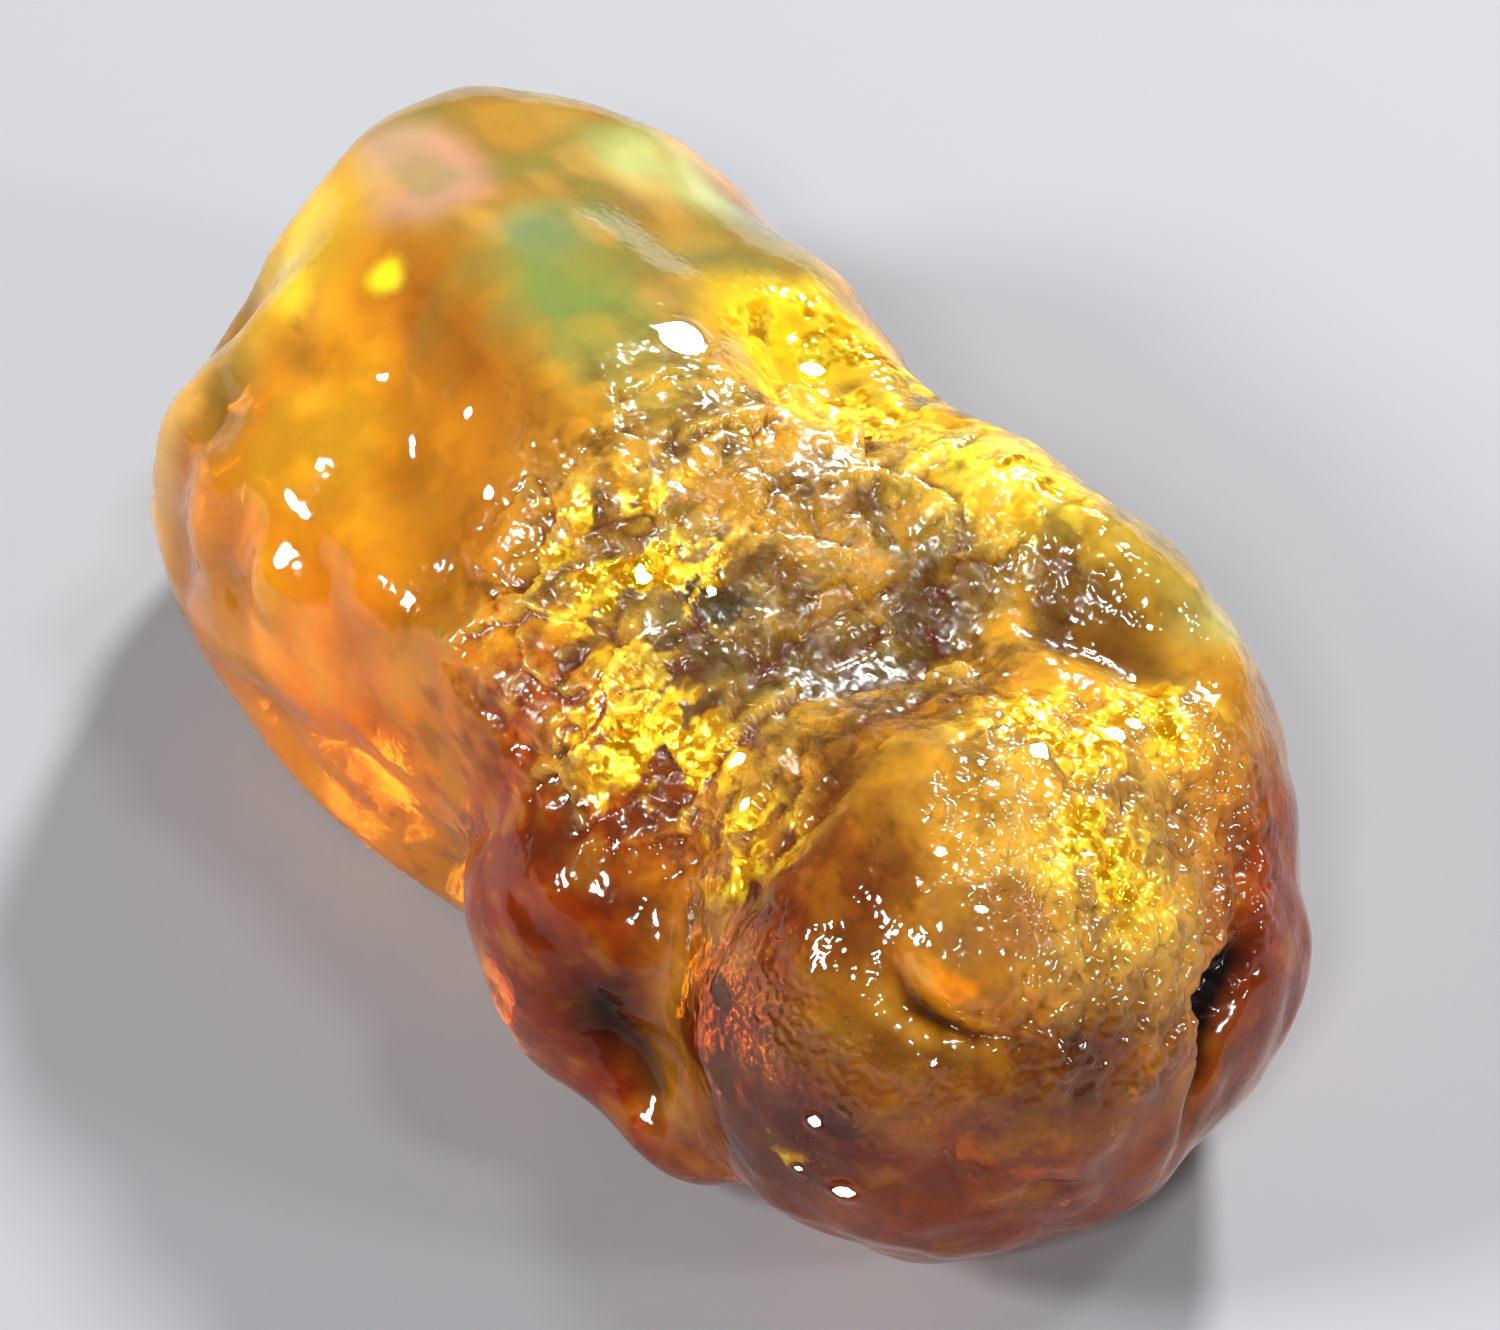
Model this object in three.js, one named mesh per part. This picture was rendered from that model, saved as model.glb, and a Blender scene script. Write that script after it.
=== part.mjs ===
// A rough nugget of translucent amber, as one natural solid: a blocky tail with broken faces, a lumpy
// waist and a domed head, lying on the flat patch of its underside. Millimetres, +Z up, with the origin
// in the middle of the footprint, the long axis along X and the head towards +X.
import * as THREE from "three";
import { ImprovedNoise } from "three/addons/math/ImprovedNoise.js";
import { mergeVertices } from "three/addons/utils/BufferGeometryUtils.js";

// Driving dimensions: the finished stone fills exactly this box.
const LENGTH = 16.2;
const WIDTH = 9.1;
const HEIGHT = 6.3;

// The skin starts as a ball of 20 (n + 1)^2 triangles, whose points are pushed out along rays that start
// on a spine of this half length, this high above the ground.
const SKIN_DETAIL = 21;
const SPINE_HALF = 4.6;
const SPINE_Z = 2.7;

// How far the natural surface wanders from the smooth masses, in millimetres, at each size of bump.
const WAVES = [
  { size: 2.4, depth: 0.16 },
  { size: 1.0, depth: 0.07 },
];

// The stone is three chunks grown together: two blocky ones with broken faces make the tail, and a
// rounded one makes the waist and the head. In each chunk the masses are ellipsoids: centre, radii, turn
// about Z in degrees, and how widely a mass blends into those before it. A narrow blend leaves a crease.
// In front of a broken face everything is gone: its direction, a point it passes through and the width
// of its worn edge.
const CHUNKS = [
  {
    part: "near half of the tail",
    blend: 0.1,
    masses: [{ at: [-2.4, -0.6, 2.5], radii: [6.0, 4.3, 3.7], turn: 0, blend: 0.1 }],
    faces: [
      { part: "top slope", facing: [-0.12, -0.5, 0.85], through: [-2.9, -1.8, 5.0], edge: 0.8 },
      { part: "end", facing: [-0.95, -0.15, 0.25], through: [-6.55, -3.1, 3.6], edge: 0.28 },
      { part: "side", facing: [-0.24, -0.96, 0.08], through: [-5.4, -3.5, 2.4], edge: 0.28 },
      { part: "foot", facing: [0.08, -0.98, 0.0], through: [-2.1, -3.55, 1.4], edge: 0.6 },
    ],
  },
  {
    part: "back half of the tail",
    blend: 0.35,
    masses: [{ at: [-3.0, 0.6, 2.6], radii: [6.0, 4.2, 4.0], turn: -6, blend: 0.1 }],
    faces: [
      { part: "smooth top", facing: [-0.05, 0.3, 0.95], through: [-3.3, 1.4, 5.5], edge: 0.5 },
      { part: "end", facing: [-0.94, -0.12, 0.3], through: [-7.65, 0.6, 3.8], edge: 0.25 },
      { part: "near step", facing: [-0.25, -0.75, 0.6], through: [-7.0, -0.65, 4.4], edge: 0.3 },
      { part: "end bevel", facing: [-0.55, 0.75, 0.3], through: [-7.2, 2.85, 4.2], edge: 0.35 },
      { part: "flank", facing: [0.1, 0.87, 0.47], through: [-2.6, 3.8, 4.0], edge: 0.5 },
    ],
  },
  {
    part: "waist and head",
    blend: 0.5,
    masses: [
      { part: "waist", at: [1.0, -0.1, 2.6], radii: [3.1, 3.2, 2.9], turn: 0, blend: 0.1 },
      { part: "neck", at: [3.2, -0.9, 3.0], radii: [2.0, 2.0, 2.5], turn: 0, blend: 0.5 },
      { part: "shoulder", at: [3.0, 2.15, 3.3], radii: [3.5, 1.8, 2.7], turn: -2, blend: 0.45 },
      { part: "side lobe", at: [1.7, -3.0, 2.0], radii: [1.85, 1.65, 1.9], turn: 0, blend: 0.45 },
      { part: "rim", at: [5.1, 0.25, 2.4], radii: [2.8, 3.0, 2.6], turn: 0, blend: 0.5 },
      { part: "head", at: [5.2, -1.15, 3.0], radii: [2.9, 3.0, 3.15], turn: 0, blend: 0.4 },
      { part: "foot", at: [3.3, -3.5, 1.0], radii: [1.1, 0.75, 0.9], turn: 0, blend: 0.4 },
    ],
    faces: [],
  },
];

// Hollows pressed into the skin: centre, radii, turn about Z and the width of the rounded lip.
const HOLLOWS = [
  { part: "pit behind the waist", at: [-0.9, 2.2, 6.1], radii: [1.2, 0.95, 1.2], turn: -15, lip: 0.5 },
  { part: "valley before the head", at: [2.7, 0.3, 6.05], radii: [0.8, 2.2, 1.1], turn: -18, lip: 0.5 },
  { part: "valley end", at: [4.3, 2.0, 5.8], radii: [1.4, 0.6, 0.9], turn: 25, lip: 0.5 },
];

const noise = new ImprovedNoise();

// Distance to an ellipsoid, close to true near its surface and negative inside.
function ellipsoidDistance(point, { at, radii, turn }) {
  const local = new THREE.Vector3(...at).sub(point).negate();
  local.applyAxisAngle(new THREE.Vector3(0, 0, 1), THREE.MathUtils.degToRad(-turn));
  const size = new THREE.Vector3(...radii);
  const scaled = local.clone().divide(size).length();
  const steep = local.clone().divide(size).divide(size).length();
  return steep < 1e-9 ? -Math.min(...radii) : (scaled * (scaled - 1)) / steep;
}

function planeDistance(point, { facing, through }) {
  return point.clone().sub(new THREE.Vector3(...through)).dot(new THREE.Vector3(...facing).normalize());
}

function smoothMin(a, b, width) {
  const near = Math.max(width - Math.abs(a - b), 0) / width;
  return Math.min(a, b) - (near * near * width) / 4;
}

function smoothMax(a, b, width) {
  return -smoothMin(-a, -b, width);
}

function wander(point) {
  let sum = 0;
  for (const { size, depth } of WAVES) {
    sum += depth * noise.noise(point.x / size + 11.3, point.y / size + 4.7, point.z / size + 7.9);
  }
  return sum;
}

function join(distance, other, blend) {
  return distance === Infinity ? other : smoothMin(distance, other, blend);
}

// One chunk: its masses grown into one, then cut back by its broken faces.
function chunkDistance(point, { masses, faces }) {
  let distance = Infinity;
  for (const mass of masses) {
    distance = join(distance, ellipsoidDistance(point, mass), mass.blend);
  }
  for (const face of faces) {
    distance = smoothMax(distance, planeDistance(point, face), face.edge);
  }
  return distance;
}

// Negative inside the stone, positive outside.
function stone(point) {
  let distance = Infinity;
  for (const chunk of CHUNKS) {
    distance = join(distance, chunkDistance(point, chunk), chunk.blend);
  }
  distance += wander(point);
  for (const hollow of HOLLOWS) {
    distance = smoothMax(distance, -ellipsoidDistance(point, hollow), hollow.lip);
  }
  return distance;
}

// The outermost point of the stone along a ray from its spine.
function skinPoint(direction) {
  const start = new THREE.Vector3(direction.x * SPINE_HALF, 0, SPINE_Z);
  const along = (reach) => start.clone().addScaledVector(direction, reach);
  let outer = 8;
  while (outer > 0.2 && stone(along(outer)) > 0) {
    outer -= 0.05;
  }
  let inner = outer;
  outer += 0.05;
  for (let step = 0; step < 18; step += 1) {
    const middle = (inner + outer) / 2;
    if (stone(along(middle)) > 0) {
      outer = middle;
    } else {
      inner = middle;
    }
  }
  return along(inner);
}

function nuggetGeometry() {
  const ball = new THREE.IcosahedronGeometry(1, SKIN_DETAIL);
  ball.deleteAttribute("normal");
  ball.deleteAttribute("uv");
  const skin = mergeVertices(ball, 1e-5);
  const points = skin.getAttribute("position");
  const direction = new THREE.Vector3();
  for (let index = 0; index < points.count; index += 1) {
    direction.fromBufferAttribute(points, index).normalize();
    const point = skinPoint(direction);
    points.setXYZ(index, point.x, point.y, Math.max(point.z, 0));
  }
  skin.computeBoundingBox();
  const size = skin.boundingBox.getSize(new THREE.Vector3());
  const middle = skin.boundingBox.getCenter(new THREE.Vector3());
  skin.translate(-middle.x, -middle.y, -skin.boundingBox.min.z);
  skin.scale(LENGTH / size.x, WIDTH / size.y, HEIGHT / size.z);
  skin.computeVertexNormals();
  return skin;
}

const amber = new THREE.MeshStandardMaterial({
  color: 0xc27a1c,
  roughness: 0.18,
  metalness: 0,
  transparent: true,
  opacity: 0.85,
});

const nugget = new THREE.Mesh(nuggetGeometry(), amber);
nugget.name = "amber_nugget";

const part = new THREE.Group();
part.name = "rough_amber_nugget";
part.add(nugget);

export default part;
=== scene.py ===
"""Looks of a rough amber nugget: a glossy, cloudy, light-filled stone with cracks and debris in it."""

import math

import bmesh
import bpy
import numpy as np
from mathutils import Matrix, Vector


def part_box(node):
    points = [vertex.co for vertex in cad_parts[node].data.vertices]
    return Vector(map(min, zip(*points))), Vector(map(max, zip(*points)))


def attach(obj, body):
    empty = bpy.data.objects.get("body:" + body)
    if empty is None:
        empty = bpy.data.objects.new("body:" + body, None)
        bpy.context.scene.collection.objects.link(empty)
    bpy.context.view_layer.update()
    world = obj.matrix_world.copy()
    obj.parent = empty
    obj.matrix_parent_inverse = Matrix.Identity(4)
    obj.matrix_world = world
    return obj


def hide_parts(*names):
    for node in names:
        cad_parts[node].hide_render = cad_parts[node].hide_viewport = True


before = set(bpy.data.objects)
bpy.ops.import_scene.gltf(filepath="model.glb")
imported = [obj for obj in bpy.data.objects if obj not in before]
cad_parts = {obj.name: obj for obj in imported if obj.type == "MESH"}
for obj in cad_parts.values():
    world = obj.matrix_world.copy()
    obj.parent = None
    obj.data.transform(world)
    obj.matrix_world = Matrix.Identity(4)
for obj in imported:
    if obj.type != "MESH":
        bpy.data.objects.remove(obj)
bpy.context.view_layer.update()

MM = 0.001
STONE = "amber_nugget"

# Every place on the stone is given in millimetres for a stone that fills this box, and is then fitted to
# the CAD solid's own box.
MADE_LOW = np.array([-8.1, -4.55, 0.0])
MADE_HIGH = np.array([8.1, 4.55, 6.3])
CAD_LOW, CAD_HIGH = (np.array(corner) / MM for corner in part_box(STONE))


def fitted(point):
    """A place on the stone as made, moved to where it is in the part's frame, in millimetres."""
    return CAD_LOW + (np.asarray(point) - MADE_LOW) * (CAD_HIGH - CAD_LOW) / (MADE_HIGH - MADE_LOW)


def as_made(point):
    """A place in the part's frame, moved to where it is on the stone as made, in millimetres."""
    return MADE_LOW + (point - CAD_LOW) * (MADE_HIGH - MADE_LOW) / (CAD_HIGH - CAD_LOW)


def direction(azimuth, elevation):
    """Unit vector from the stone towards a viewer at that azimuth and elevation, in degrees."""
    a, e = math.radians(azimuth), math.radians(elevation)
    return np.array([math.sin(a) * math.cos(e), -math.cos(a) * math.cos(e), math.sin(e)])


# The camera, what it looks at and the two main lights, in millimetres.
TARGET = fitted((0.33, 0.03, 2.8))
VIEWER = TARGET + 80.0 * direction(50, 50)
KEY = 250.0 * direction(208, 34)
SIDE = 300.0 * direction(335, 36)

# ---------------------------------------------------------------- where things are on the stone

# Parts of the stone, each an ellipsoid: its centre, its radii and the softness of its border.
HEAD = ((5.9, -1.2, 3.0), (2.9, 3.2, 3.6), 0.2)
HEAD_TOP = ((6.4, -0.1, 5.0), (2.3, 2.5, 2.1), 0.3)
HEAD_BORDER = ((3.9, -0.8, 5.6), (1.0, 1.7, 1.0), 0.35)
WAIST = ((1.4, -0.6, 5.0), (3.3, 3.4, 2.3), 0.35)
VALLEY = ((2.3, -0.1, 5.1), (0.8, 1.6, 1.0), 0.35)
VALLEY_END = ((3.6, 1.6, 5.1), (1.3, 0.7, 0.8), 0.35)
TAIL = ((-5.0, -0.2, 3.0), (4.3, 5.5, 4.6), 0.25)
TAIL_TOP = ((-3.9, 1.2, 5.8), (3.9, 2.2, 1.4), 0.35)
TAIL_SLOPE = ((-4.6, -2.6, 3.6), (3.6, 2.0, 2.6), 0.5)
BACK = ((-0.6, 4.0, 2.4), (8.0, 2.4, 3.2), 0.3)
LITTLE_GOLD = ((3.5, 1.5, 5.1), (1.3, 0.7, 0.6), 0.35)

# The softness of a border that is nearly sharp.
SHARP = 0.1

# The small dome on the head: its centre, its radius and how far it stands out.
DOME_CENTRE = (6.38, -2.16, 5.56)
DOME_RADIUS = 0.66
DOME_HEIGHT = 0.26

# Clefts in the skin: a name, the darkness of its painted shade, and a line of points (x, y, z, width,
# depth).
FAINT_SHADE = 0.45
CLEFTS = [
    ("under the small dome", 1.0, [
        (6.02, -2.8, 5.45, 0.08, 0.0), (6.3, -2.9, 5.28, 0.12, 0.26), (6.76, -2.76, 5.08, 0.13, 0.28),
        (7.05, -2.5, 5.0, 0.09, 0.16), (7.25, -2.1, 5.0, 0.06, 0.0),
    ]),
    ("rim", 1.0, [
        (6.2, 1.9, 4.5, 0.2, 0.0), (7.0, 1.2, 4.1, 0.15, 0.1), (7.34, 0.83, 3.8, 0.26, 0.36),
        (7.57, 0.34, 3.75, 0.32, 0.5), (7.7, 0.12, 3.5, 0.24, 0.45), (7.85, 0.0, 3.2, 0.15, 0.36),
        (7.97, -0.26, 2.9, 0.12, 0.3), (8.05, -0.44, 2.5, 0.11, 0.2), (8.0, -0.8, 2.1, 0.1, 0.0),
    ]),
    ("low slit", 0.8, [
        (8.0, -1.5, 2.8, 0.05, 0.0), (7.95, -1.9, 2.78, 0.07, 0.1), (7.8, -2.3, 2.96, 0.13, 0.2),
        (7.7, -2.6, 2.88, 0.07, 0.08), (7.4, -3.0, 2.7, 0.06, 0.0),
    ]),
    ("beside the side lobe", 0.9, [
        (1.4, -4.0, 3.4, 0.3, 0.0), (2.2, -4.1, 3.1, 0.42, 0.16), (2.9, -4.1, 2.4, 0.5, 0.34),
        (3.4, -4.0, 1.7, 0.3, 0.28), (3.7, -3.9, 1.2, 0.2, 0.1),
    ]),
    ("tail and side lobe", FAINT_SHADE, [
        (-0.9, -3.4, 0.5, 0.25, 0.12), (-0.2, -3.6, 2.0, 0.25, 0.12), (0.4, -3.7, 2.9, 0.2, 0.08),
        (0.9, -3.2, 4.1, 0.2, 0.0),
    ]),
    ("back of the waist", FAINT_SHADE, [
        (-2.4, 3.9, 4.2, 0.3, 0.0), (-1.6, 4.0, 3.5, 0.3, 0.15), (-1.2, 3.9, 2.4, 0.35, 0.22),
        (-0.6, 3.6, 1.2, 0.35, 0.2), (-0.5, 3.4, 0.3, 0.3, 0.1),
    ]),
    ("back of the shoulder", FAINT_SHADE, [
        (1.6, 3.9, 4.8, 0.14, 0.0), (2.2, 4.2, 4.0, 0.16, 0.14), (2.1, 4.4, 3.0, 0.14, 0.12),
        (2.9, 4.4, 2.0, 0.16, 0.14), (3.0, 4.1, 1.0, 0.14, 0.0),
    ]),
    ("back of the tail", FAINT_SHADE, [
        (-7.2, 1.8, 4.4, 0.12, 0.0), (-6.4, 2.9, 4.0, 0.14, 0.12), (-5.3, 3.6, 3.6, 0.16, 0.14),
        (-4.4, 4.0, 2.6, 0.14, 0.12), (-3.6, 4.2, 2.2, 0.14, 0.0),
    ]),
    ("tail's end", FAINT_SHADE, [
        (-7.9, -0.6, 4.3, 0.12, 0.0), (-7.9, 0.2, 3.4, 0.16, 0.14), (-7.8, 0.4, 2.4, 0.18, 0.16),
        (-7.4, 1.2, 1.4, 0.14, 0.0),
    ]),
    ("head's near border", FAINT_SHADE, [
        (3.4, 0.1, 5.2, 0.3, 0.0), (3.6, -0.6, 5.5, 0.2, 0.06), (4.1, -1.8, 5.9, 0.2, 0.07),
        (4.0, -2.9, 5.2, 0.2, 0.12), (4.0, -3.6, 4.2, 0.3, 0.0),
    ]),
]
# A cleft this deep gets the darkest painted shade, and the painted shade is this many times as wide as the
# cleft.
FULL_SHADE_DEPTH = 0.3
SHADE_WIDTH = 1.25

# Folds across the waist and the tail, each a line of points (x, y, z). They are shallower at their ends.
FOLDS = [
    [(-0.7, -2.6, 4.95), (-0.5, -2.2, 5.3), (-0.1, -1.8, 5.55), (0.2, -1.0, 5.9)],
    [(0.65, -2.9, 4.6), (0.55, -2.2, 5.15), (0.35, -1.5, 5.6), (0.9, -0.7, 5.7)],
    [(2.3, -1.9, 5.1), (2.1, -1.2, 5.25), (2.0, -0.3, 5.3), (2.1, 0.65, 5.25), (2.8, 1.4, 5.3)],
    [(3.2, -2.3, 5.05), (3.35, -1.8, 5.4), (3.0, -0.9, 5.4)],
    [(2.8, -3.55, 3.5), (2.75, -3.0, 3.85), (3.1, -2.7, 4.5)],
    [(-0.8, -3.2, 4.4), (-0.2, -3.3, 4.3), (0.55, -3.2, 4.2), (1.2, -3.0, 4.3)],
]
FOLD_WIDTH = 0.11
FOLD_DEPTH = 0.09
FOLD_END = 0.3

# Small worn faces that glint in one of the two main lights: a centre and a radius.
GLINTS = [
    (-1.64, 0.76, 6.0, 0.34), (5.23, -0.16, 6.07, 0.17), (-1.04, 2.09, 5.0, 0.17), (5.19, 0.85, 5.4, 0.17),
    (-0.17, 0.5, 6.0, 0.17), (0.37, -1.41, 5.65, 0.17), (6.32, -1.92, 5.85, 0.12), (5.13, 1.24, 5.3, 0.12),
    (1.04, -1.12, 5.6, 0.12), (2.65, -2.04, 5.0, 0.12), (5.63, -1.82, 6.13, 0.1), (5.52, 1.65, 5.2, 0.1),
    (3.19, -2.33, 4.97, 0.1), (2.1, -3.27, 4.0, 0.09), (-1.43, 2.12, 5.15, 0.09), (5.96, -0.1, 5.88, 0.09),
    (7.3, -1.62, 5.1, 0.12), (7.19, -1.18, 5.35, 0.09), (-2.66, -1.41, 5.46, 0.09),
    (-1.68, -1.92, 5.37, 0.1), (6.48, -3.81, 2.9, 0.2), (6.13, -3.93, 3.85, 0.13), (6.0, -4.0, 3.0, 0.1),
    (6.75, -2.9, 4.7, 0.1),
]
# How far a worn face may move the skin in or out.
GLINT_LIFT = 0.15

# Dark crumbs of plant debris: a centre and a radius.
DEBRIS = [
    ((7.25, -1.55, 4.6), 0.20), ((7.0, -2.1, 4.55), 0.09), ((6.45, -1.0, 5.6), 0.08),
    ((6.1, -3.5, 3.6), 0.16), ((5.7, -3.2, 4.4), 0.08), ((6.9, -0.4, 4.9), 0.07), ((4.3, -3.2, 3.6), 0.12),
    ((2.4, -3.4, 3.3), 0.16), ((1.8, -3.7, 2.6), 0.2), ((2.3, 0.2, 4.8), 0.12), ((-3.9, -2.9, 3.0), 0.09),
    ((-5.6, -1.4, 4.3), 0.1), ((3.9, 2.0, 4.7), 0.12), ((-2.0, 2.9, 3.2), 0.12), ((5.9, 2.3, 3.4), 0.14),
    ((0.3, 2.9, 3.6), 0.1),
]

# The skin is torn above TORN_HEIGHT, and nearly whole below WHOLE_HEIGHT. The flat underside reaches up to
# FLAT_HEIGHT, and above it the bumps and clefts rise to their full size over RISE_HEIGHT.
TORN_HEIGHT = 4.7
WHOLE_HEIGHT = 3.3
FLAT_HEIGHT = 0.02
RISE_HEIGHT = 0.35

# The longest edges that the mesh keeps: below LOW_HEIGHT, on the stone at large, at the waist, and on the
# top of the head and the worn faces.
LOW_HEIGHT = 0.4
LOW_EDGE = 0.3
COMMON_EDGE = 0.13
WAIST_EDGE = 0.09
FINE_EDGE = 0.045

# ---------------------------------------------------------------- what the stone looks like

# The amber itself: how much of the light that isn't sent straight through is scattered, how far, and how
# much further red goes than green and blue, then the colour and density of its absorption.
IOR = 1.54
SPECULAR = 0.25
SCATTERED = 0.85
SCATTER_DISTANCE = 2.6
SCATTER_RADII = (1.0, 0.65, 0.12)
ABSORPTION_COLOUR = (1.0, 0.72, 0.10, 1.0)
ABSORPTION_DENSITY = 180.0

# Other colours, some from a darker to a paler one.
INNER_GOLD = ((205, 140, 10), (255, 222, 56))
FLAKE_GOLD = ((240, 160, 20), (255, 232, 70))
DEBRIS_BROWN = ((22, 9, 4), (56, 24, 10))
# The painted shade in the clefts.
CLEFT_SHADE_COLOUR = (14, 5, 2)
FLOOR_GREY = (120, 121, 124)

# Roughness of the glossy skin, and how much is added where the skin is matt.
GLOSS = 0.07
MATT_WAIST = 0.20
MATT_HEAD = 0.11
MATT_VALLEY = 0.04

# Where the stone changes colour, and where shade and glow are painted on it: a name, a centre and
# radii in millimetres, a softness, the colour, and how clear the stone is there. A later zone lies over an
# earlier one.
BASE_TINT = (230, 160, 44)
BASE_CLEAR = 0.8
ZONES = [
    ("tail, orange", (-4.0, -2.4, 3.4), (4.6, 2.6, 3.6), 0.35, (248, 164, 30), 0.68),
    # Bright orange painted where light shines through the tail's near side; the stone also lets real light
    # through there.
    ("tail, side with painted glow", (-3.0, -3.8, 1.8), (3.6, 1.3, 2.8), 0.5, (255, 150, 6), 0.62),
    ("tail, red streak", (-2.2, -3.5, 2.6), (1.2, 0.9, 1.4), 0.6, (255, 130, 8), 0.62),
    ("tail, brown ridge", (-3.6, -0.9, 5.7), (1.5, 0.6, 0.6), 0.5, (176, 108, 24), 0.6),
    ("tail, olive top", (-4.4, 1.9, 5.2), (4.0, 2.3, 1.7), 0.2, (130, 118, 54), 0.45),
    ("tail, olive fringe", (-6.0, -2.4, 4.2), (0.7, 0.9, 0.8), 0.5, (170, 144, 60), 0.5),
    ("tail, green", (-2.0, 0.1, 6.1), (2.2, 0.9, 0.9), 0.4, (106, 122, 56), 0.35),
    ("tail, teal", (-4.0, 0.7, 6.0), (0.5, 0.8, 0.5), 0.5, (112, 130, 84), 0.4),
    ("tail, peach", (-5.8, 0.4, 5.5), (0.95, 0.75, 0.8), 0.4, (182, 144, 118), 0.4),
    ("tail, pale yellow", (-4.4, 2.8, 5.0), (0.9, 0.7, 0.9), 0.45, (168, 174, 104), 0.4),
    ("tail, tan edge", (-6.35, -3.1, 3.4), (0.55, 0.7, 2.4), 0.5, (250, 206, 110), 0.5),
    # Bright yellow painted glow and glints at the tail's end, where blurred glints of light shine.
    ("tail, end lumps with painted glow", (-6.6, -1.1, 4.6), (1.3, 1.0, 1.2), 0.6, (255, 222, 60), 0.5),
    ("tail, painted lemon glint", (-5.73, -1.4, 4.83), (0.34, 0.3, 0.4), 0.6, (255, 232, 60), 0.4),
    ("tail, small painted lemon glint", (-4.76, -0.76, 5.5), (0.2, 0.2, 0.3), 0.6, (236, 240, 40), 0.4),
    ("waist", (1.0, -0.4, 5.2), (2.9, 2.6, 1.8), 0.4, (172, 140, 54), 0.66),
    ("waist, brown", (0.8, 0.7, 5.8), (0.9, 0.8, 0.6), 0.4, (156, 120, 46), 0.6),
    ("waist, near side", (1.2, -3.0, 4.0), (1.9, 1.2, 1.4), 0.5, (190, 88, 10), 0.68),
    ("waist, grey green", (1.6, -1.5, 5.4), (0.75, 0.75, 0.7), 0.5, (84, 76, 44), 0.5),
    ("pit", (-0.8, 2.1, 5.2), (1.5, 1.1, 1.2), 0.35, (255, 214, 20), 0.5),
    ("shoulder", (2.2, 2.5, 5.2), (2.8, 1.5, 1.7), 0.35, (150, 130, 48), 0.5),
    ("shoulder, bright", (1.9, 2.4, 5.8), (0.8, 0.6, 0.6), 0.6, (250, 232, 60), 0.4),
    ("shoulder, end", (4.6, 3.1, 5.0), (0.6, 0.5, 0.7), 0.6, (176, 170, 92), 0.5),
    # The valley's dark olive is partly its own colour and partly painted shade under the head's overhang;
    # its end is painted shade.
    ("valley", (2.3, -0.1, 5.1), (0.75, 1.6, 0.9), 0.35, (84, 68, 28), 0.4),
    ("valley end", (3.9, 1.95, 5.1), (1.2, 0.65, 0.7), 0.4, (76, 56, 18), 0.4),
    # The head's low zones are darker than the amber itself, partly as painted shade on its lower, thicker
    # parts.
    ("head, low", (6.4, -1.6, 2.4), (2.6, 3.2, 2.4), 0.4, (166, 74, 4), 0.8),
    ("head, base", (6.2, -1.6, 0.8), (3.0, 3.6, 1.4), 0.5, (170, 58, 1), 0.85),
    ("head, upper left", (3.9, -0.8, 5.6), (0.9, 1.6, 1.0), 0.45, (120, 74, 16), 0.6),
    ("head, top", (6.1, 0.0, 5.5), (1.9, 2.1, 1.6), 0.35, (210, 166, 64), 0.7),
    # Partly painted shade: darker where the side light falls on the lower head.
    ("head, near low", (5.0, -4.0, 3.4), (1.4, 0.7, 1.9), 0.4, (100, 36, 4), 0.8),
    ("head, right low", (7.4, -1.8, 4.3), (0.7, 0.9, 0.8), 0.5, (124, 66, 14), 0.75),
    ("head, dark spot", (7.62, -1.25, 3.9), (0.3, 0.35, 0.35), 0.6, (70, 20, 10), 0.6),
    ("head, maroon", (4.8, -2.8, 4.9), (1.2, 1.2, 1.4), 0.5, (140, 66, 18), 0.75),
    ("head, dark eye", (6.2, -3.8, 3.6), (0.9, 0.6, 0.8), 0.7, (96, 36, 22), 0.7),
    ("rim", (6.9, 2.0, 2.8), (1.5, 2.2, 2.2), 0.4, (156, 56, 1), 0.75),
    # The side lobe's dark red-brown is partly its own colour and partly painted shade.
    ("side lobe", (1.7, -3.9, 2.4), (1.8, 1.1, 1.9), 0.35, (150, 50, 1), 0.7),
    ("side lobe, outer", (0.4, -4.2, 1.6), (0.9, 0.9, 1.6), 0.6, (180, 68, 2), 0.66),
    # Painted shade in the pocket beside the side lobe.
    ("pocket's painted shade", (2.9, -4.1, 2.5), (0.6, 0.5, 0.8), 0.6, (70, 16, 2), 0.5),
    ("foot", (3.2, -4.1, 0.8), (1.1, 0.8, 0.9), 0.5, (150, 36, 1), 0.66),
    ("small dome", (6.3, -2.0, 5.8), (0.6, 0.6, 0.6), 0.3, (176, 120, 50), 0.7),
    # An orange crescent painted where light glows through the dome's lower edge.
    ("small dome, edge with painted glow", (6.3, -2.64, 5.4), (0.42, 0.15, 0.22), 0.5, (255, 150, 6), 0.5),
]

# The way the tail's growth bands run.
BANDS = np.array([-0.587, 0.492, 0.643])

# Clouds in the tail: how wide, which pattern, how much is left out, how strong on the slope and on the
# smooth top, and which colour.
CLOUDS = [
    (1.1, 81, 0.05, 0.45, 0.25, (150, 82, 14)),
    (0.6, 82, 0.15, 0.35, 0.15, (176, 104, 20)),
    (0.7, 83, 0.05, 0.25, 0.45, (110, 122, 56)),
    (0.9, 84, 0.15, 0.40, 0.10, (255, 176, 40)),
    (0.5, 85, 0.20, 0.15, 0.40, (196, 150, 70)),
]

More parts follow.
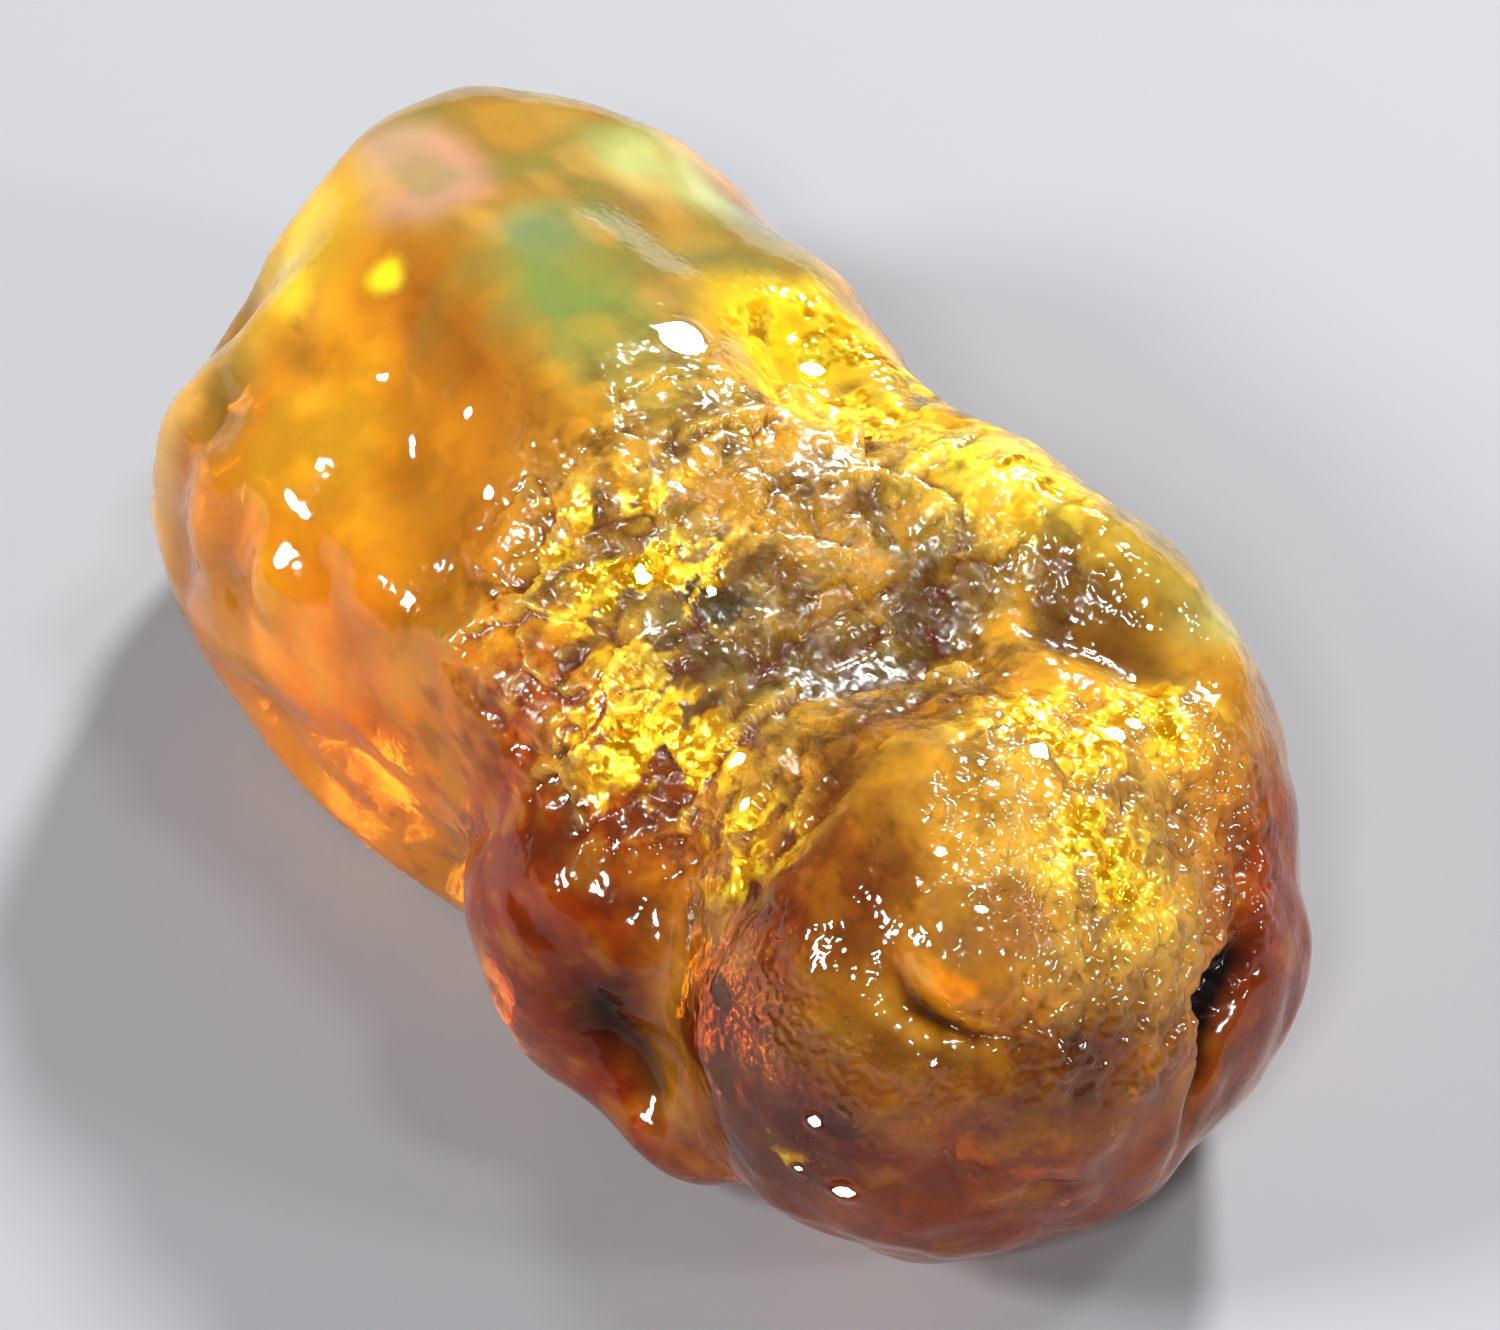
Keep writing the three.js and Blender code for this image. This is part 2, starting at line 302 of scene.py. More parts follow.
# Where broken internal faces throw back bright gold: a centre and radii.
GOLD = [
    ((-0.7, 2.1, 5.2), (1.4, 1.0, 1.0)),
    ((0.2, -1.6, 5.6), (1.0, 0.9, 0.9)),
    ((1.9, -2.5, 4.8), (0.9, 0.7, 0.9)),
    ((3.4, -2.8, 4.9), (0.8, 0.6, 0.8)),
    ((1.9, 2.5, 5.7), (1.2, 0.8, 0.7)),
    ((5.2, 1.6, 5.1), (0.6, 0.5, 0.5)),
    ((4.9, 0.4, 5.5), (0.8, 1.0, 0.8)),
    ((6.4, -0.3, 5.6), (0.8, 0.75, 0.8)),
    ((6.1, -3.9, 2.95), (0.35, 0.3, 0.3)),
]
GOLD_SOFT = 0.5

# Marks over the zones: the value of their pattern where they start, the value where they are full, and
# their colour.
DARK_MOTTLE = (0.50, 0.30, (84, 30, 4))
PALE_MOTTLE = (0.54, 0.72, (255, 190, 50))
DARK_SPECK = (0.48, 0.34, (64, 22, 8))
PALE_SPECK = (0.54, 0.68, (236, 168, 24))
# Painted shade in the creases and painted light on the knobs, by how hollow the skin is.
CREASE_SHADE = (0.05, 0.9, (80, 22, 2))
KNOB_LIGHT = (-0.1, -0.9, (255, 214, 80))

# The depth in millimetres of a crease that counts as fully hollow.
HOLLOW_SCALE = 0.04

# Flakes under the golden parts of the skin: how many, then in millimetres how deep they lie, their smallest
# radius and how much bigger they get, and half their thickness.
FLAKES = 4500
FLAKE_SHALLOW = 0.06
FLAKE_DEEP = 0.6
FLAKE_RADIUS = 0.03
FLAKE_SPREAD = 0.07
FLAKE_HALF = 0.006
FLAKE_CORNERS = 6
FLAKE_SEED = 11

# ---------------------------------------------------------------- repeatable noise, in numpy


def hashed(lattice, seed):
    """A number from 0 to 1 for each cell of an integer lattice."""
    c = lattice.astype(np.int64)
    h = (c[..., 0] * 374761393 + c[..., 1] * 668265263 + c[..., 2] * 2147483647 + seed * 144665) & 0xFFFFFFFF
    h = ((h ^ (h >> 13)) * 1274126177) & 0xFFFFFFFF
    h = (h ^ (h >> 16)) & 0xFFFFFFFF
    h = (h * 2246822519) & 0xFFFFFFFF
    return ((h ^ (h >> 15)) & 0xFFFFFF) / float(0xFFFFFF)


def waves(points, size, seed):
    """Smooth noise from -1 to 1 whose bumps are about as wide as size."""
    p = points / size
    base = np.floor(p)
    f = p - base
    f = f * f * f * (f * (f * 6 - 15) + 10)
    total = np.zeros(len(p))
    for dx in (0, 1):
        for dy in (0, 1):
            for dz in (0, 1):
                corner = hashed(base + (dx, dy, dz), seed)
                weight = (f[:, 0] if dx else 1 - f[:, 0]) * (f[:, 1] if dy else 1 - f[:, 1])
                total += corner * weight * (f[:, 2] if dz else 1 - f[:, 2])
    return total * 2 - 1


def lumps(points, size, seed):
    """Rounded lumps with sharp creases between them: from -0.5 in a crease to about 0.6 on a lump."""
    return np.minimum(np.abs(waves(points, size, seed)) * 2.4, 1.1) - 0.5


def wander(points, amount, size, seed):
    """A small smooth move for each point, of up to that amount along each axis."""
    return amount * np.stack([waves(points, size, seed + k) for k in range(3)], 1)


def fractal(points, size, seed, octaves=5, rough=0.58):
    """Cloudy noise around 0.5, with finer and finer waves in it."""
    total = sum(rough**k * waves(points, size / 2**k, seed + k) for k in range(octaves))
    return 0.5 + 0.5 * total / sum(rough**k for k in range(octaves))


def scattered(points, size, seed):
    """For each cell around each point, the cell itself and the way from its scattered seed to the point."""
    p = points / size
    base = np.floor(p)
    for dx in (-1, 0, 1):
        for dy in (-1, 0, 1):
            for dz in (-1, 0, 1):
                cell = base + (dx, dy, dz)
                spot = cell + np.stack([hashed(cell, seed + k) for k in (1, 2, 3)], 1)
                yield cell, p - spot


def cells(points, size, seed):
    """Distance to the nearest and the second nearest of scattered seeds, as shares of their spacing."""
    first = np.full(len(points), 9.0)
    second = np.full(len(points), 9.0)
    for _, from_seed in scattered(points, size, seed):
        d = np.linalg.norm(from_seed, axis=1)
        second = np.where(d < first, first, np.minimum(second, d))
        first = np.minimum(first, d)
    return first, second


def facets(points, size, seed):
    """Broken faces: each scattered cell's own tilted plane, as a height in cell sizes, and its own tone."""
    best = np.full(len(points), 9.0)
    height = np.zeros(len(points))
    tone = np.zeros(len(points))
    for cell, from_seed in scattered(points, size, seed):
        tilt = np.stack([hashed(cell, seed + k) for k in (4, 5, 6)], 1) * 2 - 1
        d = np.linalg.norm(from_seed, axis=1)
        closer = d < best
        best = np.where(closer, d, best)
        height = np.where(closer, (from_seed * tilt).sum(axis=1), height)
        tone = np.where(closer, hashed(cell, seed + 7), tone)
    return height, tone


def ramp(value, low, high):
    """0 at low and 1 at high, with soft ends; low may be above high."""
    t = np.clip((value - low) / (high - low), 0, 1)
    return t * t * (3 - 2 * t)


def near(points, at, radii, soft):
    """1 inside an ellipsoid, 0 outside, with a soft border."""
    return ramp(np.linalg.norm((points - np.array(at)) / np.array(radii), axis=1), 1 + soft, 1 - soft)


# ---------------------------------------------------------------- meshes, as arrays of points and triangles


def cad_triangles(obj):
    """The CAD solid's shared vertices, in millimetres, and its triangles."""
    mesh = obj.data
    mesh.calc_loop_triangles()
    co = np.zeros(len(mesh.vertices) * 3)
    mesh.vertices.foreach_get("co", co)
    tris = np.zeros(len(mesh.loop_triangles) * 3, dtype=np.int32)
    mesh.loop_triangles.foreach_get("vertices", tris)
    co = co.reshape(-1, 3) / MM
    _, first, shared = np.unique(np.round(co, 3), axis=0, return_index=True, return_inverse=True)
    tris = shared.reshape(-1)[tris].reshape(-1, 3)
    tris = tris[(tris[:, 0] != tris[:, 1]) & (tris[:, 1] != tris[:, 2]) & (tris[:, 0] != tris[:, 2])]
    return co[first], tris


def vertex_normals(verts, tris):
    """Unit normals, weighted by the area of the triangles at each point."""
    a, b, c = (verts[tris[:, k]] for k in range(3))
    face = np.cross(b - a, c - a)
    normals = np.zeros_like(verts)
    for k in range(3):
        np.add.at(normals, tris[:, k], face)
    return normals / np.maximum(np.linalg.norm(normals, axis=1, keepdims=True), 1e-12)


def finer(verts, tris, steps, roundness=0.7):
    """Splits each triangle steps times along each side, and curves it through its corners' normals."""
    normals = vertex_normals(verts, tris)
    grid = [(i, j) for i in range(steps + 1) for j in range(steps + 1 - i)]
    number = {ij: k for k, ij in enumerate(grid)}
    weights = np.array([(steps - i - j, i, j) for i, j in grid]) / steps
    corners = verts[tris]
    flat = np.einsum("gk,tkc->tgc", weights, corners)
    curved = np.zeros_like(flat)
    for k in range(3):
        n = normals[tris[:, k]][:, None, :]
        away = ((flat - corners[:, k][:, None, :]) * n).sum(2, keepdims=True)
        curved += weights[None, :, k, None] * (flat - away * n)
    points = ((1 - roundness) * flat + roundness * curved).reshape(-1, 3)
    _, first, shared = np.unique(
        np.round(flat.reshape(-1, 3), 4), axis=0, return_index=True, return_inverse=True
    )
    small = []
    for i in range(steps):
        for j in range(steps - i):
            small.append((number[i, j], number[i + 1, j], number[i, j + 1]))
            if i + j < steps - 1:
                small.append((number[i + 1, j], number[i + 1, j + 1], number[i, j + 1]))
    start = np.arange(len(tris))[:, None, None] * len(grid)
    new = shared.reshape(-1)[(start + np.array(small)[None]).reshape(-1, 3)]
    return points[first], new


def relaxed(verts, tris, rounds, amount):
    """Averages each point with its neighbours, which melts facets and fine marks away."""
    pairs = np.concatenate([tris[:, [0, 1]], tris[:, [1, 2]], tris[:, [2, 0]]])
    pairs = np.concatenate([pairs, pairs[:, ::-1]])
    count = np.bincount(pairs[:, 0], minlength=len(verts))[:, None]
    for _ in range(rounds):
        total = np.stack(
            [np.bincount(pairs[:, 0], verts[pairs[:, 1], k], len(verts)) for k in range(3)], 1
        )
        verts = verts + amount * (total / count - verts)
    return verts


def split_long(verts, tris, limit):
    """Halves every edge longer than limit gives for its middle, and the triangles on both its sides."""
    edges = np.sort(np.concatenate([tris[:, [0, 1]], tris[:, [1, 2]], tris[:, [2, 0]]]), axis=1)
    pairs, which = np.unique(edges, axis=0, return_inverse=True)
    which = which.reshape(3, -1).T
    middle = verts[pairs].mean(axis=1)
    long = np.linalg.norm(verts[pairs[:, 0]] - verts[pairs[:, 1]], axis=1) > limit(middle)
    new = np.where(long, len(verts) + np.cumsum(long) - 1, -1)[which]
    verts = np.concatenate([verts, middle[long]])
    marked = new >= 0
    count = marked.sum(axis=1)
    out = [tris[count == 0]]
    for k in range(3):
        turned, fresh = np.roll(tris, -k, axis=1), np.roll(new, -k, axis=1)
        one = (count == 1) & marked[:, k]
        (a, b, c), m = turned[one].T, fresh[one, 0]
        out += [np.stack([a, m, c], 1), np.stack([m, b, c], 1)]
        two = (count == 2) & ~marked[:, (k + 2) % 3]
        (a, b, c), (m, n) = turned[two].T, fresh[two, :2].T
        out += [np.stack([a, m, n], 1), np.stack([m, b, n], 1), np.stack([a, n, c], 1)]
    (a, b, c), (m, n, o) = tris[count == 3].T, new[count == 3].T
    out += [np.stack(t, 1) for t in ((a, m, o), (m, b, n), (o, n, c), (m, n, o))]
    return verts, np.concatenate(out)


def along_path(points, path):
    """Distance from each point to a line of (x, y, z, width, depth), and the width and depth there."""
    best = np.full(len(points), 1e9)
    width = np.ones(len(points))
    depth = np.zeros(len(points))
    for a, b in zip(path[:-1], path[1:]):
        a, b = np.array(a, float), np.array(b, float)
        way = b[:3] - a[:3]
        share = np.clip(((points - a[:3]) @ way) / (way @ way), 0, 1)
        d = np.linalg.norm(points - a[:3] - share[:, None] * way, axis=1)
        closer = d < best
        best = np.where(closer, d, best)
        width = np.where(closer, a[3] + share * (b[3] - a[3]), width)
        depth = np.where(closer, a[4] + share * (b[4] - a[4]), depth)
    return best, width, depth


# ---------------------------------------------------------------- the stone's fine skin

# Bumps on the skin: where, their form, how wide and how high they are in millimetres, and which pattern.
BUMPS = [
    ("everywhere", waves, 1.1, 0.05, 3),
    ("off the tail", waves, 0.5, 0.025, 4),
    ("off the tail", lumps, 0.9, 0.03, 5),
    ("back", waves, 1.7, 0.09, 19),
    ("back", lumps, 1.2, 0.06, 20),
    ("back", lumps, 0.45, 0.02, 22),
    ("tail's slope", waves, 0.35, 0.03, 18),
    ("broken waist", lumps, 0.55, 0.05, 10),
    ("head", waves, 0.8, 0.06, 26),
    ("head", lumps, 0.6, 0.03, 27),
]
# How wide the broken faces, the knobs and the beads are, and how high those and the tail's swells are.
FACE_SIZE = 0.85
FACE_HEIGHT = 0.22
SMALL_FACE_SIZE = 0.34
SMALL_FACE_HEIGHT = 0.03
KNOB_SIZE = 0.55
KNOB_HEIGHT = 0.10
BEAD_SIZE = 0.19
BEAD_HEIGHT = 0.13
SWELL_HEIGHT = 0.32


def edge_limit(p):
    """The longest edge the mesh keeps at each point, in millimetres."""
    limit = np.where(p[:, 2] < LOW_HEIGHT, LOW_EDGE, COMMON_EDGE)
    limit = np.where(near(p, *WAIST) > 0.5, WAIST_EDGE, limit)
    limit = np.where(near(p, *HEAD_TOP) > 0.5, FINE_EDGE, limit)
    for *centre, radius in GLINTS:
        limit = np.where(np.linalg.norm(p - centre, axis=1) < 1.4 * radius, FINE_EDGE, limit)
    return limit


def skin_regions(p):
    """How much each point belongs to each region of the skin, from 0 to 1."""
    waist = near(p, *WAIST)
    off_tail = 1 - 0.9 * near(p, *TAIL)
    broken = off_tail * (1 - 0.4 * np.maximum(near(p, *VALLEY), near(p, *VALLEY_END)))
    return {
        "everywhere": 1.0,
        "off the tail": off_tail,
        "tail's slope": near(p, *TAIL_SLOPE),
        "back": near(p, *BACK),
        "waist": waist,
        "head": near(p, *HEAD) * (1 - waist),
        "broken": broken,
        "broken waist": waist * broken,
    }


def broken_faces(p, region):
    """Big and small broken faces, drawn out across the stone, as a height, and the small ones' tone."""
    waist, head = region["waist"], region["head"]
    drift = p + wander(p, 0.10, 0.6, 51)
    big, _ = facets(drift * np.array([1.0, 0.6, 0.85]), FACE_SIZE, 110)
    small, tone = facets(drift * np.array([1.0, 0.75, 1.0]), SMALL_FACE_SIZE, 130)
    big_height = FACE_HEIGHT * (waist + 0.12 * head)
    small_height = SMALL_FACE_HEIGHT * (0.2 + 0.8 * waist + 0.3 * head)
    border = 1 - 0.75 * near(p, *HEAD_BORDER)
    tone = (tone - 0.5) * region["broken"] * np.clip(waist + 0.2 * head, 0, 1)
    return region["broken"] * border * (big_height * big + small_height * small), tone


def knobs_and_beads(p, n, region):
    """Knobs on top of the head, and finer beads there and at the waist, as a height and a tone."""
    grain = near(p, *HEAD_TOP) * np.clip(n[:, 2] + 0.4, 0.4, 1)
    knob, next_knob = cells(p + 0.06 * waves(p, 0.3, 12)[:, None], KNOB_SIZE, 21)
    bead, next_bead = cells(p + 0.03 * waves(p, 0.2, 13)[:, None], BEAD_SIZE, 31)
    beads = np.clip(grain + 0.5 * region["broken waist"], 0, 1)
    height = KNOB_HEIGHT * grain * (0.6 - knob) + BEAD_HEIGHT * beads * (0.4 - bead**2)
    return height, grain * (0.35 * (next_knob - 0.5) + 0.45 * (next_bead - 0.5))


def with_small_dome(p, offset):
    """The skin's offset with the small dome on the head raised out of it, and smoother there."""
    d = np.linalg.norm(p - np.array(DOME_CENTRE), axis=1) / DOME_RADIUS
    return offset * (1 - 0.8 * np.clip(2.2 - 2 * d, 0, 1)) + DOME_HEIGHT * np.clip(1 - d**2, 0, 1) ** 0.7


def skin_offset(p, n):
    """How far each point of the smooth stone moves along its normal, in millimetres, and its tone."""
    region = skin_regions(p)
    offset = sum(region[place] * height * form(p, size, seed) for place, form, size, height, seed in BUMPS)
    swell = (0.6 * waves(p, 1.4, 16) + 0.4 * waves(p, 0.7, 17)) * region["tail's slope"]
    faces, face_tone = broken_faces(p, region)
    grains, grain_tone = knobs_and_beads(p, n, region)
    offset = with_small_dome(p, offset + SWELL_HEIGHT * swell + faces + grains)
    return offset, np.clip(0.5 + face_tone + 0.9 * swell + grain_tone, 0.05, 0.95)


def fold_path(fold):
    """A fold as the path of a shallow cleft that fades towards its ends."""
    depths = [FOLD_END * FOLD_DEPTH] + [FOLD_DEPTH] * (len(fold) - 2) + [FOLD_END * FOLD_DEPTH]
    return [(*point, FOLD_WIDTH, depth) for point, depth in zip(fold, depths)]


def cleft_depths(p):
    """How deep each point lies in a cleft, in millimetres, and how dark its painted shade is, from 0 to 1.
    """
    wobble = p + wander(p, 0.10, 0.6, 41) + wander(p, 0.04, 0.22, 44)
    depth = np.zeros(len(p))
    cleft_shade = np.zeros(len(p))
    folds = [("fold", FAINT_SHADE, fold_path(fold)) for fold in FOLDS]
    for _, shade_strength, path in CLEFTS + folds:
        d, width, deep = along_path(wobble, path)
        depth = np.maximum(depth, deep * np.exp(-((d / width) ** 2)))
        shaded_width = SHADE_WIDTH * width
        cleft_shade = np.maximum(cleft_shade, shade_strength * deep / FULL_SHADE_DEPTH * np.exp(-((d / shaded_width) ** 2)))
    return depth, np.clip(cleft_shade, 0, 1)


def smooth_stone(cad):
    """The CAD solid's surface with its facets melted away, split finely enough to take the skin's marks."""
    verts, tris = cad_triangles(cad)
    verts = relaxed(as_made(verts), tris, 2, 0.35)
    verts, tris = finer(verts, tris, 2)
    for _ in range(5):
        verts, tris = split_long(verts, tris, edge_limit)
    return relaxed(verts, tris, 4, 0.5), tris


def with_skin(smooth, tris):
    """The smooth stone with its bumps and clefts, the painted shade in its clefts, and its tone."""
    n = vertex_normals(smooth, tris)
    depth, cleft_shade = cleft_depths(smooth)
    offset, tone = skin_offset(smooth, n)
    # The flat underside stays flat.
    move = (offset - depth) * np.clip((smooth[:, 2] - FLAT_HEIGHT) / RISE_HEIGHT, 0, 1)
    verts = smooth + n * move[:, None]
    # Only the waist and the top of the head keep the finest marks.
    finest = np.maximum(near(verts, *WAIST[:2], SHARP), near(verts, *HEAD_TOP[:2], SHARP))
    verts = verts + (1 - finest)[:, None] * (relaxed(verts, tris, 3, 0.5) - verts)
    return verts, cleft_shade, tone


def halfway(point, light):
    """The way a small face at the point must look to throw that light at the viewer."""
    way = sum((place - point) / np.linalg.norm(place - point) for place in (VIEWER, light))
    return way / np.linalg.norm(way)


def with_worn_faces(skin, tris):
    """The skin with its small faces worn to throw a light at the viewer, and how unworn each point is."""
    n = vertex_normals(skin, tris)
    verts = skin
    unworn = np.ones(len(skin))
    for *place, radius in GLINTS:
        centre = skin[np.argmin(np.linalg.norm(skin - place, axis=1))]
        share = near(skin, centre, (radius,) * 3, 0.3)
        middle = (verts * share[:, None]).sum(axis=0) / share.sum()
        outward = (n * share[:, None]).sum(axis=0)
        facing = max((halfway(middle, light) for light in (KEY, SIDE)), key=lambda way: way @ outward)
        lift = np.clip((middle - verts) @ facing, -GLINT_LIFT, GLINT_LIFT) * (n @ facing > 0)
        verts = verts + facing * (share * lift)[:, None]
        unworn = unworn * (1 - share)
    return verts, unworn


def hollowness(verts, tris):
    """How hollow the fine skin is at each point: 1 in a crease and -1 on a knob."""
    inward = ((relaxed(verts, tris, 8, 0.5) - verts) * vertex_normals(verts, tris)).sum(axis=1)
    return np.clip(inward / HOLLOW_SCALE, -1, 1)


def stone_mesh(cad):
    """The stone's points and triangles, and what its material reads at each point, by name."""
    smooth, tris = smooth_stone(cad)
    skin, cleft_shade, tone = with_skin(smooth, tris)
    torn = (1 - near(skin, *TAIL)) * (1 - 0.75 * ramp(skin[:, 2], TORN_HEIGHT, WHOLE_HEIGHT))
    matt = MATT_WAIST * near(skin, *WAIST) * torn + MATT_HEAD * near(skin, *HEAD_TOP)
    matt += MATT_VALLEY * near(skin, *VALLEY)
    verts, unworn = with_worn_faces(skin, tris)
    torn = torn * unworn
    # The finished skin fills the CAD's box exactly.
    verts = CAD_LOW + (verts - verts.min(0)) * (CAD_HIGH - CAD_LOW) / (verts.max(0) - verts.min(0))
    hollow = hollowness(verts, tris) * (0.15 + 0.85 * torn)
    tint, clear, gold = painted(skin, torn, tone, hollow)
    golden = 0.22 * tone - 0.10 * hollow
    looks = {
        "tint": tint,
        # Marks: the painted shade in the clefts, how clear the stone is, and how golden its cracks.
        "marks": np.stack([cleft_shade, clear, gold], 1),
        "relief": np.stack([golden, torn, GLOSS + matt * unworn], 1),
    }
    return verts, tris, looks


# ---------------------------------------------------------------- the stone's colours


def linear(red, green, blue):
    """A colour given as 0 to 255 values, as the shader's linear one."""

    def one(v):
        v /= 255.0
        return v / 12.92 if v <= 0.04045 else ((v + 0.055) / 1.055) ** 2.4

    return (one(red), one(green), one(blue), 1.0)


def tinted(body, share, rgb):
    """The body colour with a share of another colour laid over it."""
    share = share[:, None]
    return body * (1 - share) + share * np.array(linear(*rgb)[:3])


def marked(body, pattern, strength, mark):
    """The body colour with marks laid over it where a pattern asks for them."""
    start, full, rgb = mark
    return tinted(body, strength * ramp(pattern, start, full), rgb)


def zoned(p):
    """The colour zones at each point, as linear RGB, and how clear the stone is there."""
    body = np.tile(linear(*BASE_TINT)[:3], (len(p), 1))
    clear = np.full(len(p), BASE_CLEAR)
    for _, centre, radii, soft, rgb, zone_clear in ZONES:
        share = near(p, centre, radii, soft)
        body = tinted(body, share, rgb)
        clear = clear * (1 - share) + share * zone_clear
    return body, clear


def clouded(body, p, tail):
    """Soft clouds of other colours in the tail, drawn out along its growth bands."""
    top = near(p, *TAIL_TOP)
    banded = p - 0.7 * (p @ BANDS)[:, None] * BANDS
    for size, seed, low, on_slope, on_top, rgb in CLOUDS:
        strength = (on_slope * (1 - top) + on_top * top) * tail
        body = marked(body, waves(banded, size, seed), strength, (low - 0.1, low + 0.5, rgb))
    return body


def golden_share(p, shifted):
    """How golden the inner cracks are at each point, from 0 to 1."""
    gold = np.zeros(len(p))
    for centre, radii in GOLD:
        gold = np.maximum(gold, near(shifted, centre, radii, GOLD_SOFT))
    return gold * (1 - 0.8 * near(p, *LITTLE_GOLD))


def painted(p, torn, tone, hollow):
    """The stone's colour at each point, as linear RGB, how clear it is, and how golden its cracks."""
    tail = near(p, *TAIL)
    drift = wander(p, 0.30, 1.3, 61) + wander(p, 0.14, 0.5, 70)
    shifted = p + (1 - 0.25 * tail)[:, None] * drift
    body, clear = zoned(shifted)
    body = clouded(body, p, tail)
    # Mottling, strong where the skin is torn. Pale marks are weaker where the body colour is dark.
    cloud = fractal(p, 1.1, 91)
    mottled = 0.25 + 0.35 * torn - 0.1 * tail
    body = marked(body, cloud, mottled, DARK_MOTTLE)
    light = np.clip(2 * body[:, 0], 0.1, 1)
    body = marked(body, cloud, mottled * light, PALE_MOTTLE)
    # Small specks, strongest at the waist, and none on the tail or the small dome.
    specks = fractal(p, 0.4, 93)
    off_dome = 1 - near(p, DOME_CENTRE, (1.3 * DOME_RADIUS,) * 3, 0.35)
    speckled = (0.4 + 0.25 * near(p, *WAIST)) * (1 - tail) * off_dome
    body = marked(body, specks, speckled, DARK_SPECK)
    body = marked(body, specks, speckled * light, PALE_SPECK)
    # Each broken face has its own tone; painted shade darkens the creases and painted light makes the knobs
    # paler.
    body = body * (0.55 + 0.9 * tone)[:, None]
    body = marked(body, hollow, 0.75, CREASE_SHADE)
    body = marked(body, hollow, 0.4 * light, KNOB_LIGHT)
    return body, clear * (0.8 + 0.3 * ramp(cloud, 0.3, 0.7)), golden_share(p, shifted)


# ---------------------------------------------------------------- what is sealed in the stone


def sealed_points(verts, tris, weight, random):
    """Scattered points under the stone's skin where weight is high, the normals there and their depths."""
    a, b, c = (verts[tris[:, k]] for k in range(3))
    face = np.cross(b - a, c - a)
    area = np.linalg.norm(face, axis=1)
    chance = area * weight[tris].mean(axis=1)
    picked = random.choice(len(tris), FLAKES, p=chance / chance.sum())
    u, v = random.random((2, FLAKES, 1))
    u, v = np.where(u + v > 1, 1 - u, u), np.where(u + v > 1, 1 - v, v)
    normal = face[picked] / area[picked, None]
    depth = random.uniform(FLAKE_SHALLOW, FLAKE_DEEP, (FLAKES, 1))
    return a[picked] + u * (b - a)[picked] + v * (c - a)[picked] - depth * normal, normal, depth[:, 0]


def flake(centre, normal, depth, random):
    """The points of one flake: its rim, and a point on each side of its middle."""
    tilt = normal + 0.55 * random.normal(size=3)
    tilt /= np.linalg.norm(tilt)
    side = np.cross(tilt, (0.3, 0.9, 0.1))
    side /= np.linalg.norm(side)
    radius = min(0.75 * depth, FLAKE_RADIUS + FLAKE_SPREAD * random.random() ** 2)
    jitter = random.uniform(-0.3, 0.3, FLAKE_CORNERS)
    angles = ((np.arange(FLAKE_CORNERS) + jitter) * math.tau / FLAKE_CORNERS)[:, None]
    reach = (radius * random.uniform(0.55, 1.0, FLAKE_CORNERS))[:, None]
    rim = centre + reach * (np.cos(angles) * side + np.sin(angles) * np.cross(tilt, side))
    return np.vstack([rim, centre + FLAKE_HALF * tilt, centre - FLAKE_HALF * tilt])


def flake_mesh(verts, tris, gold):
    """Thin closed flakes, like broken faces of cracks, tilted at random under the golden skin.

    They are placed by depth alone, so about one in fifty comes out again where the skin is folded.
    """
    random = np.random.default_rng(FLAKE_SEED)
    weight = gold * np.clip(verts[:, 2] - 1.5, 0, 1)
    places = zip(*sealed_points(verts, tris, weight, random))
    points = np.vstack([flake(centre, normal, depth, random) for centre, normal, depth in places])
    k = np.arange(FLAKE_CORNERS)
    after = (k + 1) % FLAKE_CORNERS
    above, below = FLAKE_CORNERS + 0 * k, FLAKE_CORNERS + 1 + 0 * k
    one = np.concatenate([np.stack([k, after, above], 1), np.stack([after, k, below], 1)])
    starts = np.arange(FLAKES)[:, None, None] * (FLAKE_CORNERS + 2)
    return points, (starts + one).reshape(-1, 3)


def debris_mesh():
    """Dark closed crumbs, each a ball of triangles pressed and torn out of shape."""
    shape = bmesh.new()
    bmesh.ops.create_icosphere(shape, subdivisions=3, radius=1.0)
    ball = np.array([v.co for v in shape.verts])
    faces = np.array([[v.index for v in f.verts] for f in shape.faces])
    shape.free()
    all_points, all_tris = [], []
    for k, (centre, radius) in enumerate(DEBRIS):
        torn = 1 + 0.45 * waves(ball + 7.3 * k, 0.9, 71) + 0.2 * waves(ball + 7.3 * k, 0.35, 72)
        squash = np.array([1.2, 0.7 + 0.1 * (k % 4), 0.6])
        all_points.append(fitted(centre) + radius * ball * torn[:, None] * squash)
        all_tris.append(faces + k * len(ball))
    return np.vstack(all_points), np.vstack(all_tris)


# ---------------------------------------------------------------- materials


